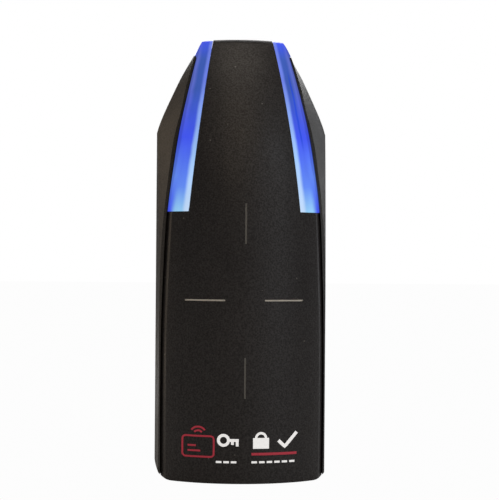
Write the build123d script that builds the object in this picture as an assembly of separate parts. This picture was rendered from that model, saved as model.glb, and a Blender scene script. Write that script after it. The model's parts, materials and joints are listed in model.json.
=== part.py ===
from build123d import *
import math
import os

# Mullion RFID card reader, built as separate pieces in millimetres.
# Frame: origin on the wall plane at mid height, +X right, +Z up, front towards -Y.
# Helpers take a depth, which is the distance in front of the wall (depth = -Y).

# ---- driving dimensions -------------------------------------------------
HALF_WIDTH = 24.0            # half width at the wall
TOP = 61.4                   # top and bottom ends
BOTTOM = -61.4
DEPTH = 22.0                 # crown height above the wall
CROWN_R = 30.0               # front crown, across
HOOD_R = 100.0               # front hood, from side to side view
HOOD_START = 6.8             # height where the hood begins to lean back
HOOD_END_R = 4.5             # rounded top end of the hood
CORNER_R = 4.5               # bottom corners
DRAFT_DEG = 4.6              # lean of the base walls
COVER_T = 2.2                # front cover and light bars
WALL_T = 2.6                 # housing side walls
PARTING_GAP = 0.22           # groove between cover and housing rim
BAR_GAP = 0.12               # joint between cover and light bars
BAR_BOTTOM = 12.5            # lower end of the light bars
RIM_TOP = 56.2               # above this the bars reach the side faces
CROSS_Z = -11.85             # centre of the read mark
MARK_IN, MARK_OUT = 5.4, 16.2
MARK_UP_IN, MARK_UP_OUT = 15.4, 26.5
MARK_W, MARK_DEEP = 0.45, 0.25

PLATE_T = 2.2                # wall plate
FLOOR_BACK, FLOOR_FRONT = 5.0, 6.6      # back panel of the housing
BOARD_BACK, BOARD_FRONT = 8.4, 10.0     # main board
HINGE_D, HINGE_Z = 2.6, 55.0            # hinge axis
PIN_R = 1.1
RUN_GAP = 0.06               # radial running clearance
SWING_DEG = 25.0
LOCK_D = 4.0                 # lock screw axis
TAMPER_X, TAMPER_Z = 14.0, -38.0
GANG_PITCH = 83.3            # single-gang box screws
ROUND_PITCH = 60.0           # round box screws
SLOT_R, SLOT_LEN = 2.1, 7.0
ROUND_R = 2.1

POST_PLACES = [(-15.0, -53.6), (15.0, -53.6), (-8.0, 40.5), (8.0, 40.5)]
BOARD_SCREW_PLACES = [(-16.4, -44.4), (16.4, -44.4), (-10.2, 29.2), (10.2, 29.2)]
TERMINAL_Z, TERMINAL_COUNT, TERMINAL_PITCH = -7.5, 8, 2.54
VENT_X, VENT_Z = -14.0, 22.0
WINDOW_X, WINDOW_Z = (-13.0, 13.0), (-25.5, -2.5)      # cable window of the wall plate
CARRIER_LEGS = [(-12.6, -29.6), (12.6, -29.6), (-12.6, 6.7), (12.6, 6.7)]

# Edge of the cover in plan: (x, z) pairs from bottom to the end of the rim
COVER_EDGE = [(22.35, -63.0), (22.45, -50.0), (22.5, -38.8), (22.46, -25.0), (22.2, -11.6),
              (21.7, 1.0), (21.0, 12.5), (19.6, 23.6), (17.75, 35.4), (15.3, 46.7),
              (14.05, 52.0), (13.0, RIM_TOP)]
BAR_INNER = [(15.4, BAR_BOTTOM), (12.6, 35.4), (7.9, 64.0)]
# Upper side facets: half widths at the wall and at FACET_DEPTH, for each height
FACET_Z = [-63.0, -38.8, -11.6, 12.5, 23.6, 30.0, 35.4, 41.0, 46.7, 52.0, 56.0, 61.4, 64.0]
FACET_BACK = [24.7, 24.9, 25.2, 25.6, 25.4, 24.9, 23.9, 21.9, 19.3, 16.7, 14.4, 11.2, 9.6]
FACET_FRONT = [23.1, 23.1, 22.75, 21.66, 20.24, 19.1, 17.84, 16.3, 14.92, 13.54, 13.1, 10.9, 9.5]
FACET_DEPTH = 13.0


# ---- small helpers ------------------------------------------------------
def at(x, depth, z):
    return Vector(x, -depth, z)


def block(x_range, depth_range, z_range):
    """Box between two x, two depths and two heights."""
    size = [b - a for a, b in (x_range, depth_range, z_range)]
    mid = [(a + b) / 2 for a, b in (x_range, depth_range, z_range)]
    return Pos(mid[0], -mid[1], mid[2]) * Box(*size)


def rod_in(x, z, radius, depth_range):
    """Round bar square to the wall."""
    a, b = depth_range
    return Pos(x, -(a + b) / 2, z) * Rot(90, 0, 0) * Cylinder(radius, b - a)


def rod_up(x, depth, radius, z_range):
    """Round bar standing upright."""
    a, b = z_range
    return Pos(x, -depth, (a + b) / 2) * Cylinder(radius, b - a)


def rod_across(depth, z, radius, x_range):
    """Round bar lying from left to right."""
    a, b = x_range
    return Pos((a + b) / 2, -depth, z) * Rot(0, 90, 0) * Cylinder(radius, b - a)


def through(edges):
    """Solid of a closed plan outline, from behind the wall to past the crown."""
    return extrude(make_face(Wire(edges)), amount=45, dir=(0, -1, 0))


def chain(points):
    """Straight plan edges through (x, z) points, closed."""
    placed = [at(x, -10, z) for x, z in points]
    return [Line(a, b) for a, b in zip(placed, placed[1:] + placed[:1])]


def mirrored(shape):
    return mirror(shape, about=Plane.YZ)


# ---- outer form ---------------------------------------------------------
def vault(inset):
    """Everything under the front crown, moved in by inset."""
    section = Pos(0, CROWN_R - DEPTH) * Circle(CROWN_R - inset) - Pos(0, 60) * Rectangle(200, 100)
    straight = extrude(Pos(0, 0, BOTTOM - 10) * section, amount=HOOD_START - BOTTOM + 10)
    axis = Axis((0, HOOD_R - DEPTH, HOOD_START), (-1, 0, 0))
    hood = revolve(Pos(0, 0, HOOD_START) * section, axis=axis, revolution_arc=42)
    return straight + hood


def capped_vault(inset, top, end_radius):
    """Vault cut level at the top, with the front top edge rounded."""
    form = vault(inset) - block((-60, 60), (-60, 60), (top, top + 60))
    end = form.faces().sort_by(Axis.Z)[-1]
    front = end.edges().sort_by(Axis.Y)[0]
    return fillet(front, end_radius)


def facet_outline(widths, depth, inset):
    right = [at(x - inset, depth, z) for x, z in zip(widths, FACET_Z)]
    left = [at(inset - x, depth, z) for x, z in zip(widths, FACET_Z)][::-1]
    edges = [Spline(right), Line(right[-1], left[0]), Spline(left), Line(left[-1], right[0])]
    return make_face(Wire(edges))


def side_walls(inset):
    """Solid between the side facets and the drafted base walls, moved in by inset."""
    slope = [(f - b) / FACET_DEPTH for b, f in zip(FACET_BACK, FACET_FRONT)]
    behind = [b - 2 * s for b, s in zip(FACET_BACK, slope)]
    ahead = [f + 14 * s for f, s in zip(FACET_FRONT, slope)]
    facets = loft([facet_outline(behind, -2, inset), facet_outline(ahead, FACET_DEPTH + 14, inset)],
                  ruled=True)
    lean = math.tan(math.radians(DRAFT_DEG))
    near, far = HALF_WIDTH - inset + 2 * lean, HALF_WIDTH - inset - 30 * lean
    wedge = make_face(Polyline((-near, 2, 0), (near, 2, 0), (far, -30, 0), (-far, -30, 0),
                               close=True))
    return facets & extrude(Pos(0, 0, -70) * wedge, amount=140)


def end_block(inset, depth_range=(-5, 40)):
    """Plan rectangle with rounded bottom corners."""
    form = block((-30, 30), depth_range, (BOTTOM + inset, TOP))
    half = HALF_WIDTH - inset
    form &= block((-half, half), depth_range, (BOTTOM + inset, TOP))
    corners = form.edges().filter_by(Axis.Y).group_by(Axis.Z)[0]
    return fillet(corners, CORNER_R - min(inset, 2.5))


def cover_edge_line(side, gap):
    """Plan edge of the cover on one side, up to where the bars reach the side faces."""
    return Spline([at(side * (x + gap), -10, z) for x, z in COVER_EDGE])


def cover_plan(gap):
    """Plan region of cover and bars together; gap widens it."""
    right = cover_edge_line(1, gap)
    step = 1.2
    x, z = COVER_EDGE[-1]
    corner = [(x + gap, z), (x + gap + step, z + step - gap), (32, z + step - gap), (32, 70),
              (-32, 70), (-32, z + step - gap), (-x - gap - step, z + step - gap), (-x - gap, z)]
    placed = [at(a, -10, b) for a, b in corner]
    lines = [Line(a, b) for a, b in zip(placed, placed[1:])]
    left = cover_edge_line(-1, gap)
    bottom = Line(left @ 0, right @ 0)
    return through([right] + lines + [left, bottom])


def bar_plan(gap):
    """Plan region of the right bar: everything outside its inner edge, above its lower end."""
    inner = [at(x - gap, -10, z if z > 20 else z - gap) for x, z in BAR_INNER]
    curve = ThreePointArc(*inner)
    end = [inner[-1], at(40, -10, 64), at(40, -10, BAR_BOTTOM - gap), inner[0]]
    return through([curve] + [Line(a, b) for a, b in zip(end, end[1:])])


def crown_depth(x):
    return DEPTH - CROWN_R + math.sqrt(CROWN_R ** 2 - x ** 2)


def cover_bevel(width=1.3, drop=1.0):
    """Solid whose leaning sides plane the long edges of the cover."""
    def sides(depth):
        found = []
        for x, z in COVER_EDGE + [(9.0, 66.0)]:
            inner_depth = crown_depth(x - width)
            outer_depth = crown_depth(x) - drop
            lean = width / (inner_depth - outer_depth)
            found.append((x + (outer_depth - depth) * lean, z))
        right = [at(x, depth, z) for x, z in found]
        left = [at(-x, depth, z) for x, z in found][::-1]
        return make_face(Wire([Spline(right), Line(right[-1], left[0]), Spline(left),
                               Line(left[-1], right[0])]))
    return loft([sides(-2), sides(26)], ruled=True)


def wall_relief():
    """Wedge behind the top end, so that the reader can swing without meeting the wall."""
    rise = math.tan(math.radians(SWING_DEG + 1.0))
    start = HINGE_Z + 0.3
    high = TOP + 5
    wedge = make_face(Polyline((0, 3, start - 3 / rise), (0, -(high - start) * rise, high),
                               (0, 3, high), close=True))
    return extrude(wedge, amount=30, both=True)


FORM = capped_vault(0, TOP, HOOD_END_R) & side_walls(0) & end_block(0)
FORM = FORM - wall_relief() - block((-40, 40), (-20, 0), (-80, 80))
CORE = capped_vault(COVER_T, TOP - COVER_T, HOOD_END_R - 1.6)


# ---- reader shells ------------------------------------------------------
def front_cover():
    shell = (FORM - CORE) & cover_plan(0) & cover_bevel()
    shell -= bar_plan(BAR_GAP)
    shell -= mirrored(bar_plan(BAR_GAP))
    skin = vault(-1) - vault(MARK_DEEP)
    half = MARK_W / 2
    for sign in (-1, 1):
        x_range = sorted((sign * MARK_IN, sign * MARK_OUT))
        z_range = sorted((CROSS_Z + sign * MARK_UP_IN, CROSS_Z + sign * MARK_UP_OUT))
        shell -= skin & block(x_range, (0, 30), (CROSS_Z - half, CROSS_Z + half))
        shell -= skin & block((-half, half), (0, 30), z_range)
    for x, z in POST_PLACES:
        shell += rod_in(x, z, 2.5, (FLOOR_FRONT, 22)) & vault(1.0)
    for x, z in POST_PLACES:
        shell -= rod_in(x, z, 1.15, (FLOOR_FRONT - 1, FLOOR_FRONT + 6.5))
    return shell


def light_bar():
    """Right light bar with the light-gathering rib on its back."""
    bar = (FORM - CORE) & bar_plan(0) & cover_plan(0)
    rib = (vault(1.2) - vault(2.9)) & bar_plan(-0.8) & side_walls(3.0)
    rib -= block((0, 30), (0, BOARD_FRONT + 0.3), (0, 34.4))
    return bar + (rib & block((0, 30), (7.4, 30), (14.0, 45.5)))


def reflector():
    """White light channel between the board and the right bar."""
    roof = vault(3.1)
    outer = roof & side_walls(2.9) & bar_plan(0.3)
    inner = side_walls(3.6) & bar_plan(-0.5)
    lower = outer & block((0, 30), (BOARD_FRONT + 0.05, 30), (13.4, 40))
    upper = outer & block((0, 30), (FLOOR_FRONT + 0.1, 30), (34.4, 46.5))
    channel = lower + upper
    channel -= inner & block((0, 30), (0, 30), (14.2, 33.5))
    return channel - (inner & block((0, 30), (BOARD_FRONT - 2.3, 30), (34.9, 45.8)))


def housing_seal(grow=0.0):
    """Gasket that lies in the rim of the housing; grow gives the groove."""
    def ring(inset, top):
        return side_walls(inset) & end_block(inset) & block((-30, 30), (-4, 30), (BOTTOM, top))
    band = ring(1.35 - grow, 57.7 + grow) - ring(2.05 + grow, 56.9 - grow)
    return band & (vault(COVER_T + 0.05 - grow) - vault(COVER_T + 0.75 + grow))


def hinge_hook():
    """Hook under the top end that hangs on the hinge pin."""
    hook = rod_across(HINGE_D, HINGE_Z, 2.2, (-6.8, 6.8))
    hook += block((-6.8, 6.8), (HINGE_D, FLOOR_BACK + 0.5), (HINGE_Z, HINGE_Z + 2.8))
    hook -= rod_across(HINGE_D, HINGE_Z, PIN_R + RUN_GAP, (-10, 10))
    corners = [(HINGE_D, HINGE_Z)]
    for degrees in (200, 240, 285, 325):
        turn = math.radians(degrees)
        corners.append((HINGE_D + 4 * math.cos(turn), HINGE_Z + 4 * math.sin(turn)))
    mouth = make_face(Polyline(*[(0, -d, z) for d, z in corners], close=True))
    return hook - extrude(mouth, amount=10, both=True)


def rear_housing():
    under_cover = capped_vault(COVER_T + 0.05, TOP - COVER_T - 0.05, HOOD_END_R - 1.65)
    hook_room = capped_vault(COVER_T + 0.5, TOP - COVER_T - 0.5, HOOD_END_R - 2.1)
    shell = FORM - (cover_plan(PARTING_GAP) - under_cover)
    cavity = side_walls(WALL_T) & end_block(2.4, (FLOOR_FRONT, 40))
    cavity &= block((-30, 30), (FLOOR_FRONT, 40), (BOTTOM, 53.0))
    cavity -= block((-7.0, 7.0), (0, 9.6), (BOTTOM, -48.4))
    for x, z in BOARD_SCREW_PLACES:
        cavity -= rod_in(x, z, 2.4, (FLOOR_FRONT - 1, BOARD_BACK))
    shell -= cavity
    recess = side_walls(2.0) & end_block(2.4, (-2, FLOOR_BACK))
    shell -= recess & block((-30, 30), (-2, FLOOR_BACK), (BOTTOM, 57.4))
    shell -= block((-5.6, 5.6), (-1, 8.2), (BOTTOM + 2.4, -49.8))
    shell -= rod_up(0, LOCK_D, 2.8, (BOTTOM - 1, BOTTOM + 3))
    shell += hinge_hook() & hook_room
    shell -= block((-12.2, 12.2), (FLOOR_BACK - 1, FLOOR_FRONT + 1), (-12.2, -3.0))
    shell -= rod_in(TAMPER_X, TAMPER_Z, 1.2 + RUN_GAP, (FLOOR_BACK - 1, FLOOR_FRONT + 1))
    shell -= rod_in(VENT_X, VENT_Z, 1.2, (FLOOR_BACK - 1, FLOOR_FRONT + 1))
    for x, z in POST_PLACES:
        shell -= rod_in(x, z, 1.4, (FLOOR_BACK - 1, FLOOR_FRONT + 1))
    for x, z in BOARD_SCREW_PLACES:
        shell -= rod_in(x, z, 0.85, (FLOOR_BACK + 0.7, BOARD_BACK + 1))
    return shell - housing_seal(0.05)


# ---- fasteners ----------------------------------------------------------
def screw(x, z, head, shank, seat, tip, toward_wall):
    """Pan-head screw square to the wall, with a cross recess."""
    head_r, head_h = head
    end = seat - head_h if toward_wall else seat + head_h
    form = rod_in(x, z, head_r, sorted((seat, end)))
    form += rod_in(x, z, shank, sorted((seat, tip)))
    slot = sorted((end - 0.7, end + 0.7))
    form -= block((x - 1.1, x + 1.1), slot, (z - 0.25, z + 0.25))
    return form - block((x - 0.25, x + 0.25), slot, (z - 1.1, z + 1.1))


def group(shapes):
    return Compound(children=[solid for shape in shapes for solid in shape.solids()])


def cover_screws():
    return group(screw(x, z, (2.2, 1.5), 1.1, FLOOR_BACK, FLOOR_FRONT + 6.0, True)
                 for x, z in POST_PLACES)


def board_screws():
    return group(screw(x, z, (1.9, 1.3), 0.8, BOARD_FRONT, FLOOR_BACK + 1.0, False)
                 for x, z in BOARD_SCREW_PLACES)


# ---- wall side ----------------------------------------------------------
def wall_plate():
    outline = [(-20.4, -57.2), (20.4, -57.2), (20.4, 31.0), (12.4, 47.0), (10.2, 52.0),
               (-10.2, 52.0), (-12.4, 47.0), (-20.4, 31.0)]
    sheet = through(chain(outline)) & block((-30, 30), (0, PLATE_T), (-70, 70))
    sheet = fillet(sheet.edges().filter_by(Axis.Y).group_by(Axis.Z)[0], 2.5)
    for side in (-1, 1):
        x_range = sorted((side * 7.2, side * 9.6))
        sheet += rod_across(HINGE_D, HINGE_Z, 1.9, x_range)
        sheet += block(x_range, (0, HINGE_D + 1.9), (49.0, HINGE_Z))
    sheet -= rod_across(HINGE_D, HINGE_Z, PIN_R + 0.01, (-12, 12))
    sheet += block((-4.5, 4.5), (0, 7.2), (-57.2, -53.2))
    sheet -= rod_up(0, LOCK_D, 2.2, (-58, -52))
    sheet -= block((-3.4, 3.4), (-1, LOCK_D + 4), (-53.2, -49.5))
    window = block(WINDOW_X, (-1, PLATE_T + 1), WINDOW_Z)
    sheet -= fillet(window.edges().filter_by(Axis.Y), 2.0)
    middle = SLOT_LEN / 2 - SLOT_R
    for z in (-GANG_PITCH / 2, GANG_PITCH / 2):
        sheet -= block((-SLOT_R, SLOT_R), (-1, PLATE_T + 1), (z - middle, z + middle))
        for end in (z - middle, z + middle):
            sheet -= rod_in(0, end, SLOT_R, (-1, PLATE_T + 1))
    for z in (-ROUND_PITCH / 2, ROUND_PITCH / 2):
        sheet -= rod_in(0, z, ROUND_R, (-1, PLATE_T + 1))
    return sheet


def cable_grommet():
    def frame(grow, depth_range):
        (x0, x1), (z0, z1) = WINDOW_X, WINDOW_Z
        ring = block((x0 - grow, x1 + grow), depth_range, (z0 - grow, z1 + grow))
        return fillet(ring.edges().filter_by(Axis.Y), max(2.0 + grow, 0.8))
    sleeve = frame(-0.05, (0.1, PLATE_T)) + frame(1.2, (PLATE_T, PLATE_T + 0.6))
    return sleeve - frame(-1.1, (-1, PLATE_T + 2))


def lock_insert():
    return rod_up(0, LOCK_D, 2.18, (-57.2, -53.2)) - rod_up(0, LOCK_D, 1.56, (-58, -52))


def lock_screw():
    form = rod_up(0, LOCK_D, 1.5, (-57.4, -50.3)) + rod_up(0, LOCK_D, 2.6, (-58.7, -57.3))
    form -= rod_up(0, LOCK_D, 2.0, (-51.35, -50.65)) - rod_up(0, LOCK_D, 1.2, (-51.4, -50.6))
    socket = Pos(0, -LOCK_D, -58.8) * RegularPolygon(1.45, 6)
    return form - extrude(socket, amount=1.2)


def lock_clip():
    ring = rod_up(0, LOCK_D, 2.9, (-51.3, -50.7)) - rod_up(0, LOCK_D, 1.26, (-52, -50))
    return ring - block((-0.7, 0.7), (LOCK_D, LOCK_D + 4), (-52, -50))


# ---- electronics --------------------------------------------------------
def main_board():
    outline = [(-17.8, -47.8), (17.8, -47.8), (19.3, -46.3), (19.3, 12.0), (16.3, 33.9),
               (-16.3, 33.9), (-19.3, 12.0), (-19.3, -46.3)]
    board = through(chain(outline)) & block((-30, 30), (BOARD_BACK, BOARD_FRONT), (-70, 70))
    for x, z in BOARD_SCREW_PLACES:
        board -= rod_in(x, z, 1.0, (BOARD_BACK - 1, BOARD_FRONT + 1))
    for x, z in CARRIER_LEGS:
        board -= rod_in(x, z, 0.8, (BOARD_BACK - 1, BOARD_FRONT + 1))
    return board - rod_in(TAMPER_X, TAMPER_Z, 1.35, (BOARD_BACK - 1, BOARD_FRONT + 1))


def antenna_carrier():
    low, high = CROSS_Z - 21.0, CROSS_Z + 21.0
    plate = block((-15.0, 15.0), (13.6, 14.6), (low, high))
    plate = fillet(plate.edges().filter_by(Axis.Y), 2.5)
    for x, z in CARRIER_LEGS:
        plate += rod_in(x, z, 1.3, (BOARD_FRONT, 13.6))
        plate += rod_in(x, z, 0.7, (BOARD_BACK + 0.2, 13.6))
    return plate


def antenna_coil(turns=6, pitch=0.95, track=0.55, thick=0.3):
    """Flat rectangular spiral, wound inwards from the lower left corner."""
    half_x, half_z = 14.0, 20.0
    depth_range = (14.6, 14.6 + thick)
    points = [(-half_x, CROSS_Z - half_z)]
    for turn in range(turns):
        step = turn * pitch
        x, z = half_x - step, half_z - step
        points += [(x, CROSS_Z - z), (x, CROSS_Z + z), (-x, CROSS_Z + z)]
        points += [(-x, CROSS_Z - z + pitch)]
    half = track / 2
    runs = []
    for (x0, z0), (x1, z1) in zip(points, points[1:]):
        x_range = (min(x0, x1) - half, max(x0, x1) + half)
        z_range = (min(z0, z1) - half, max(z0, z1) + half)
        runs.append(block(x_range, depth_range, z_range))
    coil = runs[0]
    for run in runs[1:]:
        coil += run
    return coil


def ferrite_sheet():
    return block((-10.8, 10.8), (13.2, 13.6), (CROSS_Z - 17.5, CROSS_Z + 17.5))


def leds():
    """Right row of light-emitting diodes, along the light bar."""
    found = []
    for z in (16.6, 20.7, 24.8, 28.9):
        x = 16.75 - 0.125 * (z - 16.6)
        lamp = block((x - 0.9, x + 0.9), (BOARD_FRONT, BOARD_FRONT + 0.8), (z - 1.4, z + 1.4))
        lens = rod_in(x, z, 0.8, (BOARD_FRONT + 0.8, BOARD_FRONT + 0.9))
        found.append(lamp + lens)
    return group(found)


def chip(x, z, size_x, size_z, height, base=BOARD_FRONT):
    """Moulded chip with a pin-one dimple."""
    form = block((x - size_x / 2, x + size_x / 2), (base, base + height),
                 (z - size_z / 2, z + size_z / 2))
    form = chamfer(form.edges().group_by(Axis.Y)[0], 0.15)
    mark = rod_in(x - size_x / 2 + 0.9, z + size_z / 2 - 0.9, 0.35, (base + height - 0.1, 40))
    return form - mark


def chip_leads(x, z, size_x, pitch, count, reach=0.9):
    """Gull-wing leads along both upright sides of a chip."""
    found = []
    for side in (-1, 1):
        for i in range(count):
            lead_z = z + (i - (count - 1) / 2) * pitch
            x_range = sorted((x + side * size_x / 2, x + side * (size_x / 2 + reach)))
            found.append(block(x_range, (BOARD_FRONT, BOARD_FRONT + 0.25),
                               (lead_z - 0.15, lead_z + 0.15)))
    return found


def smd_row(places, size_x, size_z, height):
    return group(block((x - size_x / 2, x + size_x / 2), (BOARD_FRONT, BOARD_FRONT + height),
                       (z - size_z / 2, z + size_z / 2)) for x, z in places)


def buzzer():
    can = rod_in(0, -41.2, 5.5, (BOARD_FRONT, BOARD_FRONT + 5.0))
    can = fillet(can.edges().sort_by(Axis.Y)[0], 0.6)
    return can - rod_in(0, -41.2, 0.9, (BOARD_FRONT + 4.0, 30))


def filter_capacitors():
    cans = []
    for x in (-6.2, 1.4):
        can = rod_in(x, 20.0, 3.0, (BOARD_FRONT + 0.8, BOARD_FRONT + 6.0))
        can = fillet(can.edges().sort_by(Axis.Y)[0], 0.5)
        cans.append(can + block((x - 3.2, x + 3.2), (BOARD_FRONT, BOARD_FRONT + 0.9), (16.8, 23.2)))
    return group(cans)


def terminal_x(i):
    return (i - (TERMINAL_COUNT - 1) / 2) * TERMINAL_PITCH


def terminal_block():
    form = block((-10.6, 10.6), (2.2, BOARD_BACK), (TERMINAL_Z - 3.5, TERMINAL_Z + 3.3))
    form = chamfer(form.edges().filter_by(Axis.X).group_by(Axis.Y)[-1], 0.5)
    for i in range(TERMINAL_COUNT):
        x = terminal_x(i)
        form -= rod_in(x, TERMINAL_Z + 1.2, 1.08, (2.0, 4.4))
        form -= block((x - 0.95, x + 0.95), (4.4, 6.4), (TERMINAL_Z - 4, TERMINAL_Z + 2.2))
    return form


def terminal_screws():
    found = []
    for i in range(TERMINAL_COUNT):
        x = terminal_x(i)
        head = rod_in(x, TERMINAL_Z + 1.2, 1.0, (2.6, 4.4))
        found.append(head - block((x - 1.2, x + 1.2), (2.0, 3.1), (TERMINAL_Z + 1.05, TERMINAL_Z + 1.35)))
    return group(found)


def terminal_clamps():
    found = []
    for i in range(TERMINAL_COUNT):
        x = terminal_x(i)
        cage = block((x - 0.9, x + 0.9), (4.45, 6.35), (TERMINAL_Z - 0.4, TERMINAL_Z + 2.15))
        found.append(cage - block((x - 0.6, x + 0.6), (4.9, 5.9), (TERMINAL_Z - 2, TERMINAL_Z + 2)))
    return group(found)


def tamper_switch():
    half = 2.9
    form = block((TAMPER_X - half, TAMPER_X + half), (BOARD_FRONT, BOARD_FRONT + 3.0),
                 (TAMPER_Z - half, TAMPER_Z + half))
    return form - rod_in(TAMPER_X, TAMPER_Z, 1.35, (BOARD_FRONT - 1, BOARD_FRONT + 1.2))


def tamper_plunger():
    stem = rod_in(TAMPER_X, TAMPER_Z, 1.2, (PLATE_T + 0.05, 9.7))
    stem = fillet(stem.edges().sort_by(Axis.Y)[-1], 0.4)
    return stem + rod_in(TAMPER_X, TAMPER_Z, 1.9, (8.0, 8.3))


def vent_membrane():
    return rod_in(VENT_X, VENT_Z, 2.6, (FLOOR_FRONT, FLOOR_FRONT + 0.3))


# ---- every piece, by name -----------------------------------------------
RIGHT_BAR, RIGHT_REFLECTOR, RIGHT_LEDS = light_bar(), reflector(), leds()
PARTS = {
    "wall_plate": wall_plate(),
    "hinge_pin": rod_across(HINGE_D, HINGE_Z, PIN_R, (-9.6, 9.6)),
    "cable_grommet": cable_grommet(),
    "lock_insert": lock_insert(),
    "lock_clip": lock_clip(),
    "lock_screw": lock_screw(),
    "rear_housing": rear_housing(),
    "front_cover": front_cover(),
    "right_light_bar": RIGHT_BAR,
    "left_light_bar": mirrored(RIGHT_BAR),
    "right_reflector": RIGHT_REFLECTOR,
    "left_reflector": mirrored(RIGHT_REFLECTOR),
    "housing_seal": housing_seal(),
    "cover_screws": cover_screws(),
    "board_screws": board_screws(),
    "vent_membrane": vent_membrane(),
    "main_board": main_board(),
    "antenna_carrier": antenna_carrier(),
    "antenna_coil": antenna_coil(),
    "ferrite_sheet": ferrite_sheet(),
    "right_leds": RIGHT_LEDS,
    "left_leds": mirrored(RIGHT_LEDS),
    "controller_chip": chip(-5.0, -18.0, 9.0, 9.0, 1.2),
    "radio_chip": chip(6.5, -9.5, 5.0, 5.0, 0.9),
    "line_driver": chip(10.6, 14.2, 3.9, 4.9, 1.4),
    "chip_leads": group(chip_leads(-5.0, -18.0, 9.0, 0.8, 10) + chip_leads(10.6, 14.2, 3.9, 1.27, 3)),
    "crystal": chip(6.5, -0.5, 3.2, 2.5, 0.8),
    "voltage_regulator": chip(-10.8, 12.4, 6.5, 3.5, 1.6),
    "power_inductor": chip(-11.6, -1.2, 5.0, 5.0, 2.4),
    "filter_capacitors": filter_capacitors(),
    "smd_capacitors": smd_row([(x, z) for x in (3.4, 6.5, 9.6) for z in (-15.0, -5.2, 3.2)],
                              1.6, 0.8, 0.8),
    "smd_resistors": smd_row([(x, z) for x in (-9.5, -6.5, -3.5, -0.5) for z in (-27.0, -29.2)],
                             0.8, 1.6, 0.45),
    "buzzer": buzzer(),
    "tamper_switch": tamper_switch(),
    "tamper_plunger": tamper_plunger(),
    "terminal_block": terminal_block(),
    "terminal_screws": terminal_screws(),
    "terminal_clamps": terminal_clamps(),
}

os.makedirs("parts", exist_ok=True)
for name, part in PARTS.items():
    export_step(part, f"parts/{name}.step")
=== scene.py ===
"""Looks of the RFID card reader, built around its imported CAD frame. Everything is in metres."""
import json
import math

import bmesh
import bpy
from mathutils import Matrix, Vector


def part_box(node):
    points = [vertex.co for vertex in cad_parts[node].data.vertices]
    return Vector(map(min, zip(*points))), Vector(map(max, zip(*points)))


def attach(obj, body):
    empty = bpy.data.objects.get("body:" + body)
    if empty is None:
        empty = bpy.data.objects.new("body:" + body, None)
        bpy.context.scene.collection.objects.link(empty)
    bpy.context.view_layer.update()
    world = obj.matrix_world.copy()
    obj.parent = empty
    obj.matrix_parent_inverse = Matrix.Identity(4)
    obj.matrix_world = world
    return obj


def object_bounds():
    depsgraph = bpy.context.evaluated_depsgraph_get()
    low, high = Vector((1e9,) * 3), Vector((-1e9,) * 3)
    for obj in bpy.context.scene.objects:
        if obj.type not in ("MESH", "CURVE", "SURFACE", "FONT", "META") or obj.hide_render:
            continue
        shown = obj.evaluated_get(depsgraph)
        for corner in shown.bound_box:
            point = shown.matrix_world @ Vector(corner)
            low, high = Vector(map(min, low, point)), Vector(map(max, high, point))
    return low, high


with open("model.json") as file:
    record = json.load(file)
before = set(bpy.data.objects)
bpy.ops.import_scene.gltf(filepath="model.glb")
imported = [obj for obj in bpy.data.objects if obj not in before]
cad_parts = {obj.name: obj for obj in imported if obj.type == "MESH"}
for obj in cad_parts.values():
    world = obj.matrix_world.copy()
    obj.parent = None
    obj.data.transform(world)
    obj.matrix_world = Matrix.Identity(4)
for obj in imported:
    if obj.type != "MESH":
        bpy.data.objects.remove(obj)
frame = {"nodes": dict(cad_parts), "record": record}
cad_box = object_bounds()

# ---- driving values -----------------------------------------------------
MM = 0.001
LOW = Vector(cad_box[0])                # lowest corner of the reader
CROWN_R = 30 * MM                       # front crown, across
CROWN_DEPTH = -LOW.y                    # how far the crown stands off the wall

BAR_LOW, BAR_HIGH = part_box("right_light_bar")
BAR_INNER_X = 15.4 * MM                 # inner edge of a light bar at its lower end
BAR_LEAN = 7.1 * MM                     # how far that edge leans in towards the top
BAR_BOW = 0.45 * MM                     # and how far it bows out on the way
BAR_WIDTH = (5.6 * MM, 3.5 * MM)        # lit width at the lower end and at the top

READ_MARK_Z = -11.85 * MM               # centre of the read mark
READ_LEVEL = (5.4, 16.2)                # level strokes, from the middle outwards, in mm
READ_UPRIGHT = (15.4, 26.5)             # upright strokes, from the centre outwards, in mm
# Painted highlight in the read mark's engraved grooves, shifted upwards so the lower edge of each
# groove stays dark
LEVEL_HIGHLIGHT_BAND = (-0.1, 0.3)               # painted highlight across a level stroke, in mm
UPRIGHT_HIGHLIGHT_BAND = (-0.12, 0.3)            # painted highlight across an upright stroke, in mm
FRONT_Y = -6 * MM                       # painted highlight stays in front of this plane

INK_RAISE, INK_SINK = 0.025 * MM, 0.02 * MM     # printed ink above and below the crown
KEY_Z, RULE_Z, DASH_Z = -49.6, -53.3, -55.5     # heights of the key, rule and dashes, in mm
DASH_LENGTH = 1.5                               # in mm

CAMERA_PLACE = Vector((-28 * MM, -440 * MM, -1.2 * MM))
CAMERA_AIM = Vector((0, 0, -1.2 * MM))
CAMERA_LENS = 111.75
CAMERA_SENSOR = 36.0
CAMERA_SHIFT = (0.0182, 0.0232)
CAMERA_ROLL = math.radians(0.43)


def linear(red, green, blue):
    """Linear colour of an 8-bit screen colour."""
    def one(value):
        share = value / 255
        return share / 12.92 if share <= 0.04045 else ((share + 0.055) / 1.055) ** 2.4
    return (one(red), one(green), one(blue), 1.0)


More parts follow.
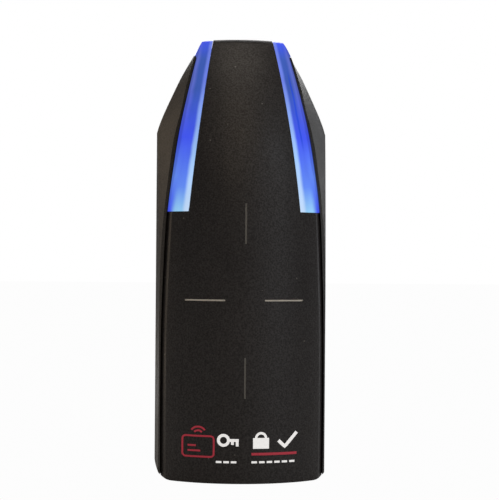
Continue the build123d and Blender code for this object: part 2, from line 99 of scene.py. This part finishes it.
# ---- node helpers -------------------------------------------------------
class Shader:
    """A Principled material with short ways to add nodes to it."""

    def __init__(self, name):
        self.material = bpy.data.materials.new(name)
        self.material.use_nodes = True
        self.tree = self.material.node_tree
        self.surface = self.tree.nodes["Principled BSDF"]
        self.place = self.add("ShaderNodeTexCoord").outputs["Object"]

    def add(self, kind, **settings):
        node = self.tree.nodes.new(kind)
        for key, value in settings.items():
            setattr(node, key, value)
        return node

    def feed(self, socket, value):
        if isinstance(value, bpy.types.NodeSocket):
            self.tree.links.new(value, socket)
        else:
            socket.default_value = value

    def set(self, **values):
        for key, value in values.items():
            self.feed(self.surface.inputs[key.replace("_", " ")], value)

    def math(self, operation, first, second=0.0, clamp=False):
        node = self.add("ShaderNodeMath", operation=operation, use_clamp=clamp)
        self.feed(node.inputs[0], first)
        self.feed(node.inputs[1], second)
        return node.outputs[0]

    def noise(self, scale, detail=2.0, stretch=(1, 1, 1)):
        node = self.add("ShaderNodeTexNoise")
        node.inputs["Scale"].default_value = scale
        node.inputs["Detail"].default_value = detail
        self.feed(node.inputs["Vector"], self.stretched(stretch))
        return node.outputs["Fac"]

    def stretched(self, stretch):
        if stretch == (1, 1, 1):
            return self.place
        node = self.add("ShaderNodeMapping")
        node.inputs["Scale"].default_value = stretch
        self.feed(node.inputs["Vector"], self.place)
        return node.outputs["Vector"]

    def span(self, value, low, high, to_low=0.0, to_high=1.0, smooth=False):
        """Value moved from one range to another, held at the ends."""
        node = self.add("ShaderNodeMapRange", clamp=True)
        node.interpolation_type = "SMOOTHSTEP" if smooth else "LINEAR"
        for index, number in enumerate((value, low, high, to_low, to_high)):
            self.feed(node.inputs[index], number)
        return node.outputs[0]

    def mix(self, share, first, second):
        node = self.add("ShaderNodeMix", data_type="RGBA")
        self.feed(node.inputs[0], share)
        self.feed(node.inputs[6], first)
        self.feed(node.inputs[7], second)
        return node.outputs[2]

    def ramp(self, value, stops):
        """Colour ramp through (place, colour) stops."""
        node = self.add("ShaderNodeValToRGB")
        ramp = node.color_ramp
        ramp.elements[0].position, ramp.elements[0].color = stops[0]
        ramp.elements[1].position, ramp.elements[1].color = stops[-1]
        for position, colour in stops[1:-1]:
            ramp.elements.new(position).color = colour
        self.feed(node.inputs["Fac"], value)
        return node.outputs["Color"]

    def bow(self, share, rise):
        """Flat arch over 0 to 1, which is rise high in its middle."""
        falling = self.math("SUBTRACT", 1.0, share)
        return self.math("MULTIPLY", self.math("MULTIPLY", share, falling), 4 * rise)

    def bump(self, height, distance, strength=1.0):
        node = self.add("ShaderNodeBump")
        node.inputs["Distance"].default_value = distance
        node.inputs["Strength"].default_value = strength
        self.feed(node.inputs["Height"], height)
        self.feed(self.surface.inputs["Normal"], node.outputs["Normal"])

    def axes(self):
        node = self.add("ShaderNodeSeparateXYZ")
        self.feed(node.inputs[0], self.place)
        return node.outputs[0], node.outputs[1], node.outputs[2]


# ---- materials ----------------------------------------------------------
SHELL_GRAIN = {"roughness": (0.42, 0.54), "grain": 2300.0, "depth": 0.045 * MM, "mottle": 0.9,
               "dust": True}            # grain that the cover and the housing share
DUST_CELLS = 420.0                      # cells a metre that may hold a speck
DUST_PICK = 0.93                        # cells whose random value is above this hold one


def dusted(shader, paint):
    """Paint with sparse pale specks of dust on it."""
    cells = shader.add("ShaderNodeTexVoronoi")
    cells.inputs["Scale"].default_value = DUST_CELLS
    shader.feed(cells.inputs["Vector"], shader.place)
    near = shader.span(cells.outputs["Distance"], 0.07, 0.12, 1.0, 0.0)
    pick = shader.add("ShaderNodeSeparateXYZ")
    shader.feed(pick.inputs[0], cells.outputs["Color"])
    chosen = shader.math("GREATER_THAN", pick.outputs[0], DUST_PICK)
    amount = shader.math("MULTIPLY", shader.math("MULTIPLY", near, chosen), 0.35)
    return shader.mix(amount, paint, linear(150, 146, 140))


def moulded_shader(name, colour, roughness=(0.42, 0.56), grain=5200.0, depth=0.018 * MM,
                   mottle=0.25, dust=False):
    """Shader and base paint of a spark-eroded moulding: a crisp grain over a slow unevenness."""
    shader = Shader(name)
    fine = shader.noise(grain, 3.0)
    slow = shader.noise(grain / 40, 2.0)
    light = tuple(min(1.0, c * (1 + mottle) + 0.002) for c in colour[:3]) + (1.0,)
    grains = shader.span(fine, 0.38, 0.62)
    paint = shader.mix(shader.math("MULTIPLY", grains, slow), colour, light)
    if dust:
        paint = dusted(shader, paint)
    shader.set(Base_Color=paint, Roughness=shader.span(slow, 0.3, 0.7, *roughness),
               Specular_IOR_Level=shader.span(fine, 0.36, 0.64, 0.36, 0.64))
    shader.bump(shader.math("ADD", fine, shader.math("MULTIPLY", slow, 0.5)), depth)
    return shader, paint


def moulded_plastic(name, colour, **choices):
    """Material of a plain moulding, with moulded_shader's choices."""
    shader, _ = moulded_shader(name, colour, **choices)
    return shader.material


def cover_finish():
    """Black moulding with a painted highlight in the engraved read mark, brighter across than up."""
    shader, paint = moulded_shader("cover_plastic", linear(31, 28, 28), **SHELL_GRAIN)
    x, y, z = shader.axes()
    off_x, rise = shader.math("ABSOLUTE", x), shader.math("SUBTRACT", z, READ_MARK_Z)
    off_z = shader.math("ABSOLUTE", rise)

    def within(value, limits):
        low, high = limits
        return shader.math("MULTIPLY", shader.math("GREATER_THAN", value, low * MM),
                           shader.math("LESS_THAN", value, high * MM))

    front = shader.math("LESS_THAN", y, FRONT_Y)
    level_highlight = shader.math("MULTIPLY", within(off_x, READ_LEVEL), within(rise, LEVEL_HIGHLIGHT_BAND))
    upright_highlight = shader.math("MULTIPLY", within(off_z, READ_UPRIGHT), within(x, UPRIGHT_HIGHLIGHT_BAND))
    # Painted highlight: pale on the level grooves and grey on the upright ones, as light from above
    # catches their walls
    paint = shader.mix(shader.math("MULTIPLY", level_highlight, front), paint, linear(236, 230, 218))
    paint = shader.mix(shader.math("MULTIPLY", upright_highlight, front), paint, linear(128, 126, 122))
    shader.set(Base_Color=paint)
    return shader.material


def metal(name, colour, roughness=0.3, brush=(1, 1, 30), scale=900.0):
    """Drawn or turned metal with fine marks along one way."""
    shader = Shader(name)
    marks = shader.noise(scale, 4.0, brush)
    tarnish = shader.noise(220.0, 3.0)
    dull = tuple(c * 0.72 for c in colour[:3]) + (1.0,)
    shader.set(Base_Color=shader.mix(shader.span(tarnish, 0.35, 0.75), colour, dull),
               Metallic=1.0, Roughness=shader.span(marks, 0.3, 0.7, roughness * 0.8, roughness * 1.5))
    shader.bump(marks, 0.01 * MM, 0.6)
    return shader.material


def circuit_board(name):
    """Green solder mask over faint copper tracks, with the weave of the laminate."""
    shader = Shader(name)
    x, _, z = shader.axes()
    lanes = shader.add("ShaderNodeTexBrick")
    black, white = (0, 0, 0, 1), (1, 1, 1, 1)
    choices = {"Scale": 260.0, "Mortar Size": 0.03, "Color1": black, "Color2": black, "Mortar": white}
    for key, value in choices.items():
        lanes.inputs[key].default_value = value
    flat = shader.add("ShaderNodeCombineXYZ")
    shader.feed(flat.inputs[0], x)
    shader.feed(flat.inputs[1], z)
    shader.feed(lanes.inputs["Vector"], flat.outputs[0])
    tracks = lanes.outputs["Color"]
    weave = shader.noise(2600.0, 2.0, (1, 1, 3))
    mask = shader.mix(shader.span(weave, 0.3, 0.7), linear(14, 84, 42), linear(20, 100, 52))
    shader.set(Base_Color=shader.mix(tracks, mask, linear(46, 140, 72)), Roughness=0.28,
               Coat_Weight=0.4, Coat_Roughness=0.15)
    shader.bump(tracks, 0.03 * MM, 0.5)
    return shader.material


def soft_rubber(name, colour):
    """Matt rubber with a slow pale bloom."""
    shader = Shader(name)
    fine = shader.noise(3800.0, 4.0)
    bloom = shader.noise(180.0, 2.0)
    light = tuple(c + 0.02 for c in colour[:3]) + (1.0,)
    shader.set(Base_Color=shader.mix(shader.span(bloom, 0.4, 0.7), colour, light),
               Roughness=shader.span(fine, 0.3, 0.7, 0.72, 0.9))
    shader.bump(fine, 0.03 * MM)
    return shader.material


def membrane(name):
    """Felted white vent membrane."""
    shader = Shader(name)
    fibre = shader.noise(6500.0, 5.0)
    shader.set(Base_Color=shader.mix(fibre, linear(205, 205, 200), linear(238, 238, 234)),
               Roughness=0.9, Sheen_Weight=0.3)
    shader.bump(fibre, 0.04 * MM)
    return shader.material


# Screen colours of the lit bars
PALE = (200, 225, 250)
SKY = (165, 205, 250)
ICE = (150, 205, 240)
AZURE = (100, 140, 240)
PERIWINKLE = (110, 130, 225)
ROYAL = (65, 85, 235)
DUSK = (60, 90, 170)
HAZE = (95, 110, 195)
# Light along three lines of each bar, from its lower end to its top: (share of the height, colour)
INNER_LIGHT = [(0.0, PALE), (0.3, SKY), (0.75, PERIWINKLE), (1.0, PERIWINKLE)]
MIDDLE_LIGHT = [(0.0, ICE), (0.14, AZURE), (0.42, ROYAL), (0.7, DUSK), (0.88, DUSK), (1.0, ROYAL)]
OUTER_LIGHT = [(0.0, ROYAL), (0.2, AZURE), (0.42, ROYAL), (0.75, HAZE), (0.9, HAZE), (1.0, ROYAL)]


SEAM_SHARE, SEAM_HEIGHT = 0.60, 0.58    # middle of the right bar's darker seam, across and up


def light_bar(name, side, boost):
    """Translucent blue bar lit from inside: bright along its inner edge and at its lower end."""
    shader = Shader(name)
    x, _, z = shader.axes()
    height = shader.span(z, BAR_LOW.z, BAR_HIGH.z)
    across = shader.math("MULTIPLY", x, side)
    inner_edge = shader.math("SUBTRACT", BAR_INNER_X, shader.math("MULTIPLY", height, BAR_LEAN))
    inner_edge = shader.math("ADD", inner_edge, shader.bow(height, BAR_BOW))
    from_inner = shader.math("SUBTRACT", across, inner_edge)
    width = shader.span(height, 0.0, 1.0, *BAR_WIDTH)
    share = shader.math("DIVIDE", from_inner, width)
    wander = shader.math("MULTIPLY", shader.math("SUBTRACT", shader.noise(210.0, 2.0), 0.5), 0.10)
    share = shader.math("ADD", share, wander)
    inner, middle, outer = (
        shader.ramp(height, [(place, linear(*colour)) for place, colour in stops])
        for stops in (INNER_LIGHT, MIDDLE_LIGHT, OUTER_LIGHT))
    glow = shader.mix(shader.span(share, 0.13, 0.36, 0.0, 1.0, True), inner, middle)
    glow = shader.mix(shader.span(share, 0.62, 0.92, 0.0, 1.0, True), glow, outer)
    dim = shader.span(share, 0.90, 1.0, 1.0, 0.72, True)
    if side > 0:
        off_seam = shader.math("ABSOLUTE", shader.math("SUBTRACT", share, SEAM_SHARE))
        seam = shader.span(off_seam, 0.03, 0.08, 0.8, 0.0, True)
        off_middle = shader.math("ABSOLUTE", shader.math("SUBTRACT", height, SEAM_HEIGHT))
        reach = shader.span(off_middle, 0.14, 0.26, 1.0, 0.0, True)
        glow = shader.mix(shader.math("MULTIPLY", seam, reach), glow, linear(34, 70, 205))
    streaks = shader.span(shader.noise(340.0, 2.0, (1, 1, 0.18)), 0.3, 0.7, 0.93, 1.08)
    strength = shader.math("MULTIPLY", shader.math("MULTIPLY", streaks, dim), boost)
    shader.set(Base_Color=linear(20, 34, 120), Roughness=0.22, Emission_Color=glow,
               Emission_Strength=strength, Coat_Weight=0.3)
    shader.bump(shader.noise(900.0, 2.0), 0.01 * MM, 0.5)
    return shader.material


def print_ink(name, colour, lift=0.0):
    """Screen-printed ink, slightly uneven. lift is a weak glow that stands in for bright ink."""
    shader = Shader(name)
    cover = shader.noise(2400.0, 3.0)
    worn = tuple(c * 0.86 for c in colour[:3]) + (1.0,)
    shader.set(Base_Color=shader.mix(shader.span(cover, 0.45, 0.7), colour, worn), Roughness=0.5,
               Emission_Color=colour, Emission_Strength=lift)
    shader.bump(cover, 0.008 * MM)
    return shader.material


# Slot: screen colour, range of roughness, and noise scale where it isn't the usual one
MOULDINGS = {
    "mount_plastic": ((38, 38, 39), (0.5, 0.65), 2600.0),
    "reflector_white": ((238, 238, 236), (0.3, 0.4)),
    "carrier_plastic": ((222, 216, 200), (0.4, 0.5)),
    "ferrite_grey": ((70, 70, 73), (0.6, 0.75), 2200.0),
    "led_package": ((240, 238, 226), (0.2, 0.3)),
    "chip_epoxy": ((34, 34, 36), (0.4, 0.5), 7000.0),
    "inductor_ferrite": ((74, 72, 72), (0.5, 0.6)),
    "capacitor_ceramic": ((176, 142, 104), (0.3, 0.4)),
    "resistor_black": ((30, 30, 34), (0.25, 0.4)),
    "buzzer_plastic": ((26, 26, 28), (0.35, 0.45)),
    "switch_plastic": ((56, 56, 58), (0.4, 0.5)),
    "plunger_plastic": ((226, 222, 210), (0.3, 0.4)),
    "terminal_green": ((34, 120, 68), (0.35, 0.45)),
}
# Slot: screen colour, roughness, and stretch of the brush marks where it isn't the usual one
METALS = {
    "pin_steel": ((196, 198, 202), 0.24, (30, 1, 1)),
    "screw_steel": ((188, 189, 190), 0.34, (1, 30, 1)),
    "spring_steel": ((150, 152, 156), 0.36),
    "insert_brass": ((206, 168, 92), 0.32),
    "coil_copper": ((212, 128, 82), 0.34, (1, 1, 1)),
    "solder_tin": ((206, 207, 208), 0.4, (1, 1, 1)),
    "crystal_can": ((200, 198, 190), 0.3),
    "capacitor_can": ((204, 206, 210), 0.28, (1, 20, 1)),
    "terminal_metal": ((196, 194, 188), 0.38),
}


def slot_finishes():
    """Material for each slot of the record, apart from the light bars."""
    finishes = {
        "cover_plastic": cover_finish(),
        "housing_plastic": moulded_plastic("housing_plastic", linear(31, 29, 28), **SHELL_GRAIN),
        "black_rubber": soft_rubber("black_rubber", linear(20, 20, 21)),
        "seal_rubber": soft_rubber("seal_rubber", linear(48, 48, 50)),
        "membrane_fabric": membrane("membrane_fabric"),
        "circuit_board": circuit_board("circuit_board"),
    }
    for slot, (colour, roughness, *grain) in MOULDINGS.items():
        choices = {"grain": grain[0]} if grain else {}
        finishes[slot] = moulded_plastic(slot, linear(*colour), roughness=roughness, **choices)
    for slot, (colour, *choices) in METALS.items():
        finishes[slot] = metal(slot, linear(*colour), *choices)
    return finishes


def finish_all_nodes():
    """One finish for each material slot, put on the nodes that use it."""
    finishes = slot_finishes()
    bars = {"left_light_bar": light_bar("light_bar_left", -1, 0.92),
            "right_light_bar": light_bar("light_bar_right", 1, 0.98)}
    for part in frame["record"]["subparts"]:
        node = part["node"]
        finish = bars[node] if node in bars else finishes[part["material_slot"]]
        for slot in frame["nodes"][node].material_slots:
            slot.material = finish


finish_all_nodes()


# ---- printed pictograms -------------------------------------------------
def crown_y(x):
    """Front of the crown at x, below the hood."""
    return -(CROWN_DEPTH - CROWN_R + math.sqrt(CROWN_R ** 2 - x ** 2))


def ink_stroke(mesh, points, width, closed=False):
    """Adds a flat printed stroke of a given width along (x, z) points, laid on the crown."""
    count = len(points)
    rings = []
    for index, (x, z) in enumerate(points):
        before = points[index - 1] if closed or index else points[0]
        after = points[(index + 1) % count] if closed or index < count - 1 else points[-1]
        along = Vector((after[0] - before[0], after[1] - before[1])).normalized()
        side = Vector((-along.y, along.x)) * width / 2
        ring = []
        for sign, lift in ((1, INK_RAISE), (-1, INK_RAISE), (-1, -INK_SINK), (1, -INK_SINK)):
            px, pz = x + sign * side.x, z + sign * side.y
            ring.append(mesh.verts.new((px, crown_y(px) - lift, pz)))
        rings.append(ring)
    pairs = list(zip(rings, rings[1:])) + ([(rings[-1], rings[0])] if closed else [])
    for first, second in pairs:
        for k in range(4):
            mesh.faces.new((first[k], first[(k + 1) % 4], second[(k + 1) % 4], second[k]))
    if not closed:
        mesh.faces.new(rings[0])
        mesh.faces.new(rings[-1][::-1])


def arc(cx, cz, radius, start, end, steps=14):
    """Points on an arc between two angles in degrees."""
    turns = [math.radians(start + (end - start) * i / steps) for i in range(steps + 1)]
    return [(cx + radius * math.cos(t), cz + radius * math.sin(t)) for t in turns]


def dense(path, closed, reach=0.5):
    """The same path with points close enough together to follow the crown."""
    points = []
    for (x0, z0), (x1, z1) in zip(path, path[1:] + (path[:1] if closed else [])):
        steps = max(1, math.ceil(math.hypot(x1 - x0, z1 - z0) / reach))
        points += [(x0 + (x1 - x0) * i / steps, z0 + (z1 - z0) * i / steps) for i in range(steps)]
    return points if closed else points + [path[-1]]


def circle(cx, cz, radius):
    return arc(cx, cz, radius, 0, 360, 28)[:-1]


def rounded_box(x0, z0, x1, z1, radius):
    """Closed outline of a box with rounded corners."""
    corners = ((x1 - radius, z1 - radius, 0), (x0 + radius, z1 - radius, 90),
               (x0 + radius, z0 + radius, 180), (x1 - radius, z0 + radius, 270))
    path = []
    for cx, cz, start in corners:
        path += arc(cx, cz, radius, start, start + 90, 5)
    return path


def printed(name, ink, strokes):
    """One printed mark from strokes, each a path in millimetres, a width and whether it closes."""
    mesh = bmesh.new()
    for path, width, closed in strokes:
        ink_stroke(mesh, [(x * MM, z * MM) for x, z in dense(path, closed)], width * MM, closed)
    bmesh.ops.recalc_face_normals(mesh, faces=mesh.faces)
    data = bpy.data.meshes.new(name)
    mesh.to_mesh(data)
    mesh.free()
    piece = bpy.data.objects.new(name, data)
    bpy.context.scene.collection.objects.link(piece)
    data.materials.append(ink)
    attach(piece, "reader")


def level_stroke(x0, x1, z, width):
    return ([(x0, z), (x1, z)], width, False)


def upright_stroke(x, z0, z1, width):
    return ([(x, z0), (x, z1)], width, False)


def print_marks():
    """Generic pictograms near the lower end: a card with waves, a key, a padlock and a tick."""
    white = print_ink("ink_white", linear(246, 246, 246), 0.50)
    red = print_ink("ink_red", linear(206, 58, 78), 0.10)
    card = [(rounded_box(-16.6, -54.2, -8.2, -48.6, 0.9), 0.5, True),
            level_stroke(-15.2, -11.8, -52.6, 0.5),
            level_stroke(-15.2, -13.0, -51.2, 0.5)]
    waves = [(arc(-12.4, -48.3, radius, 35, 145), 0.5, False) for radius in (1.2, 2.2)]
    printed("print_card", red, card + waves)
    key = [(circle(-5.6, KEY_Z, 1.35), 0.8, True),
           level_stroke(-4.3, -1.5, KEY_Z, 0.75),
           upright_stroke(-1.9, KEY_Z, -51.2, 0.75),
           upright_stroke(-3.2, KEY_Z, -50.8, 0.75)]
    padlock = [level_stroke(2.4, 6.8, -50.4, 2.9),
               (arc(4.6, -49.0, 1.35, 0, 180), 0.65, False)]
    tick = [([(9.4, -49.7), (11.2, -51.4), (14.6, -47.6)], 0.9, False)]
    printed("print_symbols", white, key + padlock + tick)
    printed("print_red_rule", red, [level_stroke(2.0, 14.6, RULE_Z, 0.7)])
    printed("print_dashes", white, [level_stroke(x, x + DASH_LENGTH, DASH_Z, 0.55)
                                    for x in (-7.6, -5.6, -3.6, 2.0, 4.1, 6.2, 8.3, 10.4, 12.5)])


print_marks()


# ---- studio -------------------------------------------------------------
def seen_by_camera(nodes, links, hidden, shown, target):
    """Joins one shader that the camera sees and one that lights the rest."""
    path = nodes.new("ShaderNodeLightPath")
    choose = nodes.new("ShaderNodeMixShader")
    links.new(path.outputs["Is Camera Ray"], choose.inputs[0])
    links.new(hidden, choose.inputs[1])
    links.new(shown, choose.inputs[2])
    links.new(choose.outputs[0], target)


def stage_floor():
    """Pale floor just under the reader."""
    floor_z, reach = LOW.z - 0.8 * MM, 4.0
    corners = [(-reach, -reach, floor_z), (reach, -reach, floor_z),
               (reach, reach, floor_z), (-reach, reach, floor_z)]
    data = bpy.data.meshes.new("floor")
    data.from_pydata(corners, [], [(0, 1, 2, 3)])
    sheet = bpy.data.objects.new("floor", data)
    bpy.context.scene.collection.objects.link(sheet)
    shader = Shader("floor")
    tone = shader.mix(shader.noise(3.0, 2.0), (0.80, 0.80, 0.80, 1), (0.84, 0.84, 0.84, 1))
    shader.set(Base_Color=tone, Roughness=0.8)
    nodes, links = shader.tree.nodes, shader.tree.links
    white = nodes.new("ShaderNodeEmission")
    white.inputs["Color"].default_value = (0.98, 0.98, 0.98, 1)
    seen_by_camera(nodes, links, shader.surface.outputs[0], white.outputs[0],
                   nodes["Material Output"].inputs["Surface"])
    data.materials.append(shader.material)


def softbox(name, place, size, power, colour):
    """Soft rectangular lamp that faces the middle of the reader."""
    lamp = bpy.data.lights.new(name, "AREA")
    lamp.shape = "RECTANGLE"
    lamp.size, lamp.size_y = size
    lamp.energy = power
    lamp.color = colour
    holder = bpy.data.objects.new(name, lamp)
    holder.location = place
    holder.rotation_euler = (-Vector(place)).to_track_quat("-Z", "Y").to_euler()
    bpy.context.scene.collection.objects.link(holder)


# Name, place, size, power in watts and colour
LAMPS = (
    ("soft_right", (0.50, 0.30, 0.10), (0.25, 0.55), 0.50, (0.94, 0.96, 1.0)),
    ("soft_left", (-0.50, 0.30, 0.10), (0.25, 0.55), 0.50, (1.0, 0.78, 0.56)),
    ("soft_front", (0.45, -0.55, 0.25), (0.30, 0.40), 0.75, (0.92, 0.95, 1.0)),
    ("soft_brow", (-0.05, -0.58, 0.42), (0.25, 0.10), 0.42, (1.0, 0.80, 0.58)),
    ("soft_top", (0.0, -0.16, 0.60), (0.40, 0.25), 0.8, (1.0, 0.90, 0.78)),
    ("soft_back", (0.1, 0.70, 0.35), (0.60, 0.60), 3.0, (1.0, 1.0, 1.0)),
)


def studio():
    """Floor, lamps and a dim world that looks white to the camera."""
    stage_floor()
    for lamp in LAMPS:
        softbox(*lamp)
    world = bpy.data.worlds.new("studio")
    world.use_nodes = True
    nodes, links = world.node_tree.nodes, world.node_tree.links
    backing = nodes["Background"]
    backing.inputs["Color"].default_value = (0.085, 0.085, 0.085, 1)
    white = nodes.new("ShaderNodeBackground")
    white.inputs["Color"].default_value = (1, 1, 1, 1)
    seen_by_camera(nodes, links, backing.outputs[0], white.outputs[0],
                   nodes["World Output"].inputs["Surface"])
    bpy.context.scene.world = world


def camera():
    """View from a little left of the middle, almost level with the reader's centre."""
    data = bpy.data.cameras.new("camera")
    data.sensor_fit = "HORIZONTAL"
    data.sensor_width = CAMERA_SENSOR
    data.lens = CAMERA_LENS
    data.shift_x, data.shift_y = CAMERA_SHIFT
    data.clip_start = 0.01
    holder = bpy.data.objects.new("camera", data)
    turn = (CAMERA_AIM - CAMERA_PLACE).to_track_quat("-Z", "Y").to_matrix().to_4x4()
    holder.matrix_world = turn @ Matrix.Rotation(CAMERA_ROLL, 4, "Z")
    holder.location = CAMERA_PLACE
    bpy.context.scene.collection.objects.link(holder)
    bpy.context.scene.camera = holder


studio()
camera()
bpy.context.scene.view_settings.view_transform = "Standard"
